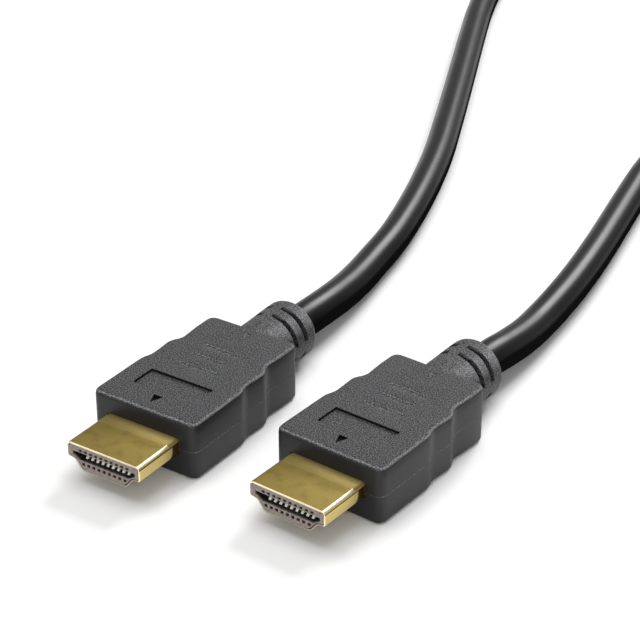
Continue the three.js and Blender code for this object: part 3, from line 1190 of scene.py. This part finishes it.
@dataclass
class Insulator:
    """The moulded block in the shell, with the slot and the openings of the contacts."""

    front: float = 0.06
    rear: float = 10.9
    gap: float = 0.005
    slot_width: float = 12.0
    slot_floor_width: float = 9.4
    slot_floor: float = 3.995
    slot_top: float = 5.345
    slot_side: float = 4.795
    slot_depth: float = 8.2
    pitch: float = 1.0
    upper: int = 10
    lower: int = 9
    opening: float = 0.6
    upper_opening: Tuple[float, float] = (5.5, 5.92)
    lower_opening: Tuple[float, float] = (3.2, 3.72)
    bridge: float = 1.05

    def _row(self, count: int, low: Tuple[float, float], high: Tuple[float, float]) -> bpy.types.Object:
        """Return one cutter for a row of openings.

        Args:
            count: Number of openings, one pitch apart.
            low: Where they start: the place along the plug and the height.
            high: Where they end.

        Returns:
            The blocks of the row as one object.
        """
        blocks = []
        for i in range(count):
            x = (i - (count - 1) / 2) * self.pitch
            half = self.opening / 2
            blocks.append(add_block("opening", (x - half, low[0], low[1]), (x + half, high[0], high[1])))
        deselect_all()
        for block in blocks:
            block.select_set(True)
        bpy.context.view_layer.objects.active = blocks[0]
        bpy.ops.object.join()
        return blocks[0]

    def model(self, shell: "Shell") -> bpy.types.Object:
        """Model the insulator in the plug's millimetres.

        Args:
            shell: The shell that it fills.

        Returns:
            The finished mesh object.
        """
        block = shell.solid(shell.sheet + self.gap, self.front, self.rear)
        half = self.slot_width / 2
        end = self.front + self.slot_depth
        slot = add_block("slot", (-half, -PAST, self.slot_floor), (half, end, self.slot_top))
        with Bench(slot) as bench:
            bench.split_at(2, self.slot_side)
            bench.pick_points(lambda p: near(p.z, self.slot_floor))
            share = self.slot_floor_width / self.slot_width
            bpy.ops.transform.resize(value=(share, 1, 1), center_override=(0, 0, self.slot_floor))
        combine(block, slot, "DIFFERENCE")
        behind = self.front + self.bridge
        for count, (low, high), slot_face in (
            (self.upper, self.upper_opening, self.slot_top - MARGIN),
            (self.lower, self.lower_opening, self.slot_floor + MARGIN),
        ):
            combine(block, self._row(count, (-PAST, low), (behind + MARGIN, high)), "DIFFERENCE")
            low, high = min(low, slot_face), max(high, slot_face)
            combine(block, self._row(count, (behind, low), (end, high)), "DIFFERENCE")
        smooth(block, degrees=30)
        return block


@dataclass
class Contacts:
    """Ten contacts above the slot and nine below it, half a pitch apart."""

    upper: int = 10
    lower: int = 9
    tip_round: float = 0.14
    # How far behind the tip the leaf is bowed to its full rise, starts to come down, and is straight again.
    bow: Tuple[float, float, float] = (0.5, 1.3, 2.1)
    bow_rise: float = 0.52
    forward: float = 0.45

    def model(self, box: Tuple[Sequence[float], Sequence[float]], rises: bool) -> bpy.types.Object:
        """Model one contact as a leaf whose rounded tip is bowed towards the slot.

        Args:
            box: Lowest and highest corners of the contact in the plug's millimetres.
            rises: Whether the slot is above it.

        Returns:
            The finished mesh object.
        """
        low, high = (list(corner) for corner in box)
        low[1] -= self.forward
        leaf = add_block("leaf", low, high)
        sign = 1 if rises else -1
        with Bench(leaf) as bench:
            for run in self.bow:
                bench.split_at(1, low[1] + run)
            bench.pick_points(lambda p: any(near(p.y, low[1] + run) for run in self.bow[:2]))
            bpy.ops.transform.translate(value=(0, 0, sign * self.bow_rise))
            bench.pick_edges(lambda a, b: near(a.y, low[1]) and near(b.y, low[1]))
            bench.bevel(self.tip_round, segments=3)
        smooth(leaf, degrees=50)
        return leaf


@dataclass
class Cable:
    """The cable: two loose stretches and, between them, a coil just outside the camera's view."""

    diameter: float = 6.2
    length: float = 1.42
    hidden: float = 3.0
    relief_end: float = 50.2
    axis_height: float = 5.0
    coil_centre: Tuple[float, float] = (38.1, 234.0)
    coil_radii: Tuple[float, float, float] = (41.5, 35.3, 29.1)
    points_per_turn: int = 24
    # Angles of a turn between which its radius changes, and between which it climbs onto the turn below.
    move: Tuple[float, float] = (300, 360)
    climb: Tuple[float, float] = (190, 280)
    on_floor: float = 3.155

    def route_a(self) -> List[Point]:
        """List the points from the first plug to the coil, measured from the plug's tip on the surface.

        Returns:
            The points in millimetres.
        """
        f = self.on_floor
        return [
            (0, 50.5, 5), (0, 55, 4.95), (-0.35, 61, 4.5), (-1.1, 67.5, 3.85), (-2.2, 74, 3.35),
            (-3.8, 82.2, f), (-5.5, 90.8, f), (-7.8, 99.3, f), (-10.5, 108, f), (-13.6, 117, f),
            (-18.2, 129, f), (-24.3, 143, f), (-31, 158, f), (-38, 173.5, f), (-45, 189, f),
            (-51.8, 204.5, f), (-57.9, 220.4, f), (-63.2, 236.5, f), (-66.2, 252, f), (-63.3, 268, f),
            (-53, 280.3, f), (-38, 285.8, f), (-22.5, 283, f), (-10.6, 273.2, f), (-4.1, 255.2, f),
        ]

    def route_b(self) -> List[Point]:
        """List the points from the second plug to the coil, measured from the first plug's tip.

        Returns:
            The points in millimetres.
        """
        f = self.on_floor
        return [
            (32.4, 56.55, 5), (32.67, 61, 4.9), (32.8, 66, 4.3), (32.65, 72, 3.6), (32.1, 78.5, f),
            (31.3, 87.4, f), (30.1, 96.5, f), (28.3, 107, f), (26, 118.5, f), (23.6, 130, f),
            (21.4, 141, f), (19.6, 152, f), (17.3, 163, f), (13.6, 174, f), (9.2, 184.5, 3.7),
            (4.9, 194.5, 5.6), (1.2, 203.7, 7.7), (-1.6, 214, 9.1), (-3.4, 226, 9.35),
        ]

    def _turn(self, start: float, end: float, levels: Tuple[float, float]) -> List[Point]:
        """Return the points of one turn of the coil, from its left side round to it again.

        Args:
            start: Radius for most of the turn.
            end: Radius that it moves to at the turn's end.
            levels: Height at the turn's start and at its end.

        Returns:
            The points, without the turn's last one.
        """
        points = []
        for i in range(self.points_per_turn):
            angle = 360 * i / self.points_per_turn
            rise = ease(angle, self.climb)
            radius = start + (end - start) * ease(angle, self.move)
            theta = math.radians(angle)
            points.append((
                self.coil_centre[0] - radius * math.cos(theta),
                self.coil_centre[1] - radius * math.sin(theta),
                levels[0] + (levels[1] - levels[0]) * rise,
            ))
        return points

    def coil(self) -> List[Point]:
        """List the points of the coil: three turns inwards on the surface, then back out on top.

        Returns:
            The points in millimetres, measured from the first plug's tip.
        """
        outer, middle, inner = self.coil_radii
        low = self.on_floor
        high = low + self.diameter
        return [
            *self._turn(outer, middle, (low, low)),
            *self._turn(middle, inner, (low, low)),
            *self._turn(inner, middle, (low, high)),
            *self._turn(middle, outer, (high, high)),
        ]

    def build(self, first: Placement, second: Placement, finish: bpy.types.Material) -> bpy.types.Object:
        """Args:
            first: Where the first plug lies, which the route's points are measured from.
            second: Where the second plug lies.
            finish: The jacket's material.

        Returns:
            The curve object.
        """
        start = [(0, self.relief_end - self.hidden, self.axis_height)]
        turn = math.radians(second.turn)
        reach = self.relief_end - self.hidden
        end = [(
            second.x - first.x - reach * math.sin(turn),
            second.y - first.y + reach * math.cos(turn),
            self.axis_height,
        )]
        route = start + self.route_a() + self.coil() + self.route_b()[::-1] + end
        curve = bpy.data.curves.new("cable", "CURVE")
        curve.dimensions = "3D"
        curve.resolution_u = 8
        curve.bevel_depth = self.diameter / 2 * MM
        curve.bevel_resolution = 7
        curve.use_fill_caps = True
        spline = curve.splines.new("BEZIER")
        spline.bezier_points.add(len(route) - 1)
        for point, (x, y, z) in zip(spline.bezier_points, route):
            point.co = ((x + first.x) * MM, (y + first.y) * MM, z * MM)
            point.handle_left_type = "AUTO"
            point.handle_right_type = "AUTO"
        cable = bpy.data.objects.new("cable", curve)
        bpy.context.scene.collection.objects.link(cable)
        curve.materials.append(finish)
        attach(cable, "root")
        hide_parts("cord_a", "cord_coil", "cord_b")
        LOG.info("cable: %d points, %.1f mm thick", len(route), self.diameter)
        return cable


def ease(angle: float, span: Tuple[float, float]) -> float:
    """Go smoothly from 0 to 1 over a span of angles, and stay there outside it."""
    share = min(1.0, max(0.0, (angle - span[0]) / (span[1] - span[0])))
    return share * share * (3 - 2 * share)


@dataclass
class Plugs:
    """Both plugs: each piece is modelled once and laid at both ends of the cable."""

    second_offset: Tuple[float, float] = (29.3, 6.15)
    second_turn: float = -3.5
    overmould: Overmould = field(default_factory=Overmould)
    shell: Shell = field(default_factory=Shell)
    insulator: Insulator = field(default_factory=Insulator)
    contacts: Contacts = field(default_factory=Contacts)

    def placements(self) -> Dict[End, Placement]:
        """Find where each plug lies, from the first plug's shell in the frame.

        Returns:
            The placement of each end.
        """
        low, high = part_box("plug_a_shell")
        x = (low[0] + high[0]) / 2 / MM
        y = low[1] / MM
        return {
            End.FIRST: Placement(x, y, 0.0),
            End.SECOND: Placement(x + self.second_offset[0], y + self.second_offset[1], self.second_turn),
        }

    def _lay_at_both_ends(
        self, master: bpy.types.Object, name: str, node: str, finishes: Finishes
    ) -> None:
        """Lay a modelled piece at both ends of the cable, dress it there and clear the model away.

        Args:
            master: The piece in the plug's millimetres.
            name: Name of the pieces, with {} for the end.
            node: Name of the nodes that they stand for, with {} for the end.
            finishes: The materials of each end, in the order of the piece's slots.
        """
        for end, placement in self.placements().items():
            piece = lay(master, name.format(end.value), placement)
            slots = piece.data.materials
            for number, material in enumerate(finishes[end]):
                if number < len(slots):
                    slots[number] = material
                else:
                    slots.append(material)
            stands_for = node.format(end.value)
            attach(piece, "root")
            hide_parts(stands_for)
            LOG.info("%s: %d faces for %s", piece.name, len(piece.data.polygons), stands_for)
        discard(master)

    def _lay_overmoulds(self, places: Dict[End, Placement]) -> None:
        """Lay the moulding at both ends.

        Args:
            places: Where the plugs lie.
        """
        pvc = MouldedPvc()
        shaded = pvc.make_shaded()
        finishes = {end: [pvc.make(end, placement), shaded] for end, placement in places.items()}
        master = self.overmould.model(self.shell)
        self._lay_at_both_ends(master, "moulding_{}", "plug_{}_overmould", finishes)

    def _lay_shells(self, places: Dict[End, Placement]) -> None:
        """Lay the metal shell at both ends.

        Args:
            places: Where the plugs lie.
        """
        gold = (
            # The second finish is a painted highlight, the third and the fourth are painted shade.
            GoldFlash("gold_flash", "#87763D", "#746432", 0.46, "#EDD68E"),
            GoldFlash("painted_highlight_gold_lip", "#FFF3D0", "#F3DFA8", 0.3),
            GoldFlash("shaded_gold_root", "#6A5224", "#4A3716", 0.38, "#5C4720"),
            GoldFlash("painted_shade_gold_lip", "#AFA296", "#988A7F", 0.5, "#AFA296"),
        )
        finishes = {end: [flash.make(end, placement) for flash in gold] for end, placement in places.items()}
        master = self.shell.model(finishes[End.FIRST])
        self._lay_at_both_ends(master, "metal_shell_{}", "plug_{}_shell", finishes)

    def _lay_contacts(self, places: Dict[End, Placement]) -> None:
        """Lay the contacts of both plugs where the frame has them.

        Args:
            places: Where the plugs lie.
        """
        first = places[End.FIRST]
        finishes = {end: [PlatedContact().make(end, placement)] for end, placement in places.items()}
        for number in range(1, self.contacts.upper + self.contacts.lower + 1):
            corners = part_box(f"plug_a_contact_{number:02d}")
            low, high = ([c[0] / MM - first.x, c[1] / MM - first.y, c[2] / MM] for c in corners)
            master = self.contacts.model((low, high), rises=number > self.contacts.upper)
            name = f"contact_leaf_{{}}_{number:02d}"
            self._lay_at_both_ends(master, name, f"plug_{{}}_contact_{number:02d}", finishes)

    def _lay_insulators(self, places: Dict[End, Placement]) -> None:
        """Lay the insulator at both ends.

        Args:
            places: Where the plugs lie.
        """
        finishes = {end: [MouldedInsulator().make(end, placement)] for end, placement in places.items()}
        master = self.insulator.model(self.shell)
        self._lay_at_both_ends(master, "insulator_block_{}", "plug_{}_insulator", finishes)

    def build(self) -> None:
        """Build both plugs, one kind of piece after the other."""
        places = self.placements()
        self._lay_overmoulds(places)
        self._lay_shells(places)
        self._lay_contacts(places)
        self._lay_insulators(places)


@dataclass(frozen=True)
class Softbox:
    """A rectangular soft light.

    Attributes:
        name: Its name.
        place: Where it hangs, in metres.
        aim: What it points at, in metres.
        size: Its width and height, in metres.
        power: Its power in watts.
    """

    name: str
    place: Point
    aim: Point
    size: Tuple[float, float]
    power: float

    def hang(self) -> None:
        """Add the light to the scene."""
        data = bpy.data.lights.new(self.name, "AREA")
        data.shape = "RECTANGLE"
        data.size, data.size_y = self.size
        data.energy = self.power
        light = bpy.data.objects.new(self.name, data)
        light.location = self.place
        light.rotation_euler = (Vector(self.aim) - Vector(self.place)).to_track_quat("-Z", "Y").to_euler()
        bpy.context.scene.collection.objects.link(light)


@dataclass
class Studio:
    """The pale surface, the soft lights and the camera at the photograph's viewing angle."""

    camera_at: Point = (167.3, -191.57, 170.07)
    camera_pitch: float = 29.08
    camera_heading: float = 33.77
    lens: float = 112.5
    sensor: float = 36.0
    surface: str = "#F7F7F7"
    surface_size: float = 6.0
    ambience: float = 0.4
    softboxes: Tuple[Softbox, ...] = (
        Softbox("overhead", (-0.2, 0.1, 1.1), (0, 0.03, 0), (1.0, 1.0), 6.8),
        Softbox("back", (-0.06, 0.92, 0.66), (0, 0.06, 0), (0.42, 0.36), 9.0),
        Softbox("front", (0.3, -0.6, 0.2), (0, 0, 0), (0.35, 0.35), 1.8),
    )

    def _camera(self, first: Placement) -> None:
        """Set up the camera.

        Args:
            first: Where the first plug lies, from whose tip the camera is placed.
        """
        data = bpy.data.cameras.new("camera")
        data.lens = self.lens
        data.sensor_width = self.sensor
        data.sensor_fit = "HORIZONTAL"
        data.clip_start = 0.01
        camera = bpy.data.objects.new("camera", data)
        x, y, z = self.camera_at
        camera.location = ((x + first.x) * MM, (y + first.y) * MM, z * MM)
        camera.rotation_euler = (math.radians(90 - self.camera_pitch), 0, math.radians(self.camera_heading))
        bpy.context.scene.collection.objects.link(camera)
        bpy.context.scene.camera = camera

    def _surface(self) -> None:
        """Lay the pale surface."""
        deselect_all()
        bpy.ops.mesh.primitive_plane_add(size=self.surface_size, location=(0, 0, 0))
        surface = bpy.context.object
        surface.name = "surface"
        material, tree = start_material("pale_paper")
        shader = add_node(tree, "BsdfPrincipled", {"Base Color": self.surface, "Roughness": 0.9})[0]
        add_node(tree, "OutputMaterial", {"Surface": shader})
        surface.data.materials.append(material)

    def _world(self) -> None:
        """Surround the scene with an even, dim white."""
        world = bpy.data.worlds.new("studio")
        bpy.context.scene.world = world
        world.use_nodes = True
        tree = world.node_tree
        tree.nodes.clear()
        background = add_node(tree, "Background", {"Color": "#FFFFFF", "Strength": self.ambience})[0]
        add_node(tree, "OutputWorld", {"Surface": background})

    def build(self, first: Placement) -> None:
        """Set up the whole studio.

        Args:
            first: Where the first plug lies.
        """
        self._camera(first)
        self._surface()
        self._world()
        for softbox in self.softboxes:
            softbox.hang()
        bpy.context.scene.view_settings.view_transform = "Standard"
        LOG.info("studio: camera, surface and lights")


def main() -> None:
    """Build the cable, its plugs and the studio in order."""
    logging.basicConfig(level=logging.INFO, format="%(name)s: %(message)s")
    plugs = Plugs()
    places = plugs.placements()
    Studio().build(places[End.FIRST])
    Cable().build(places[End.FIRST], places[End.SECOND], ExtrudedJacket().make())
    plugs.build()


if __name__ == "__main__":
    main()
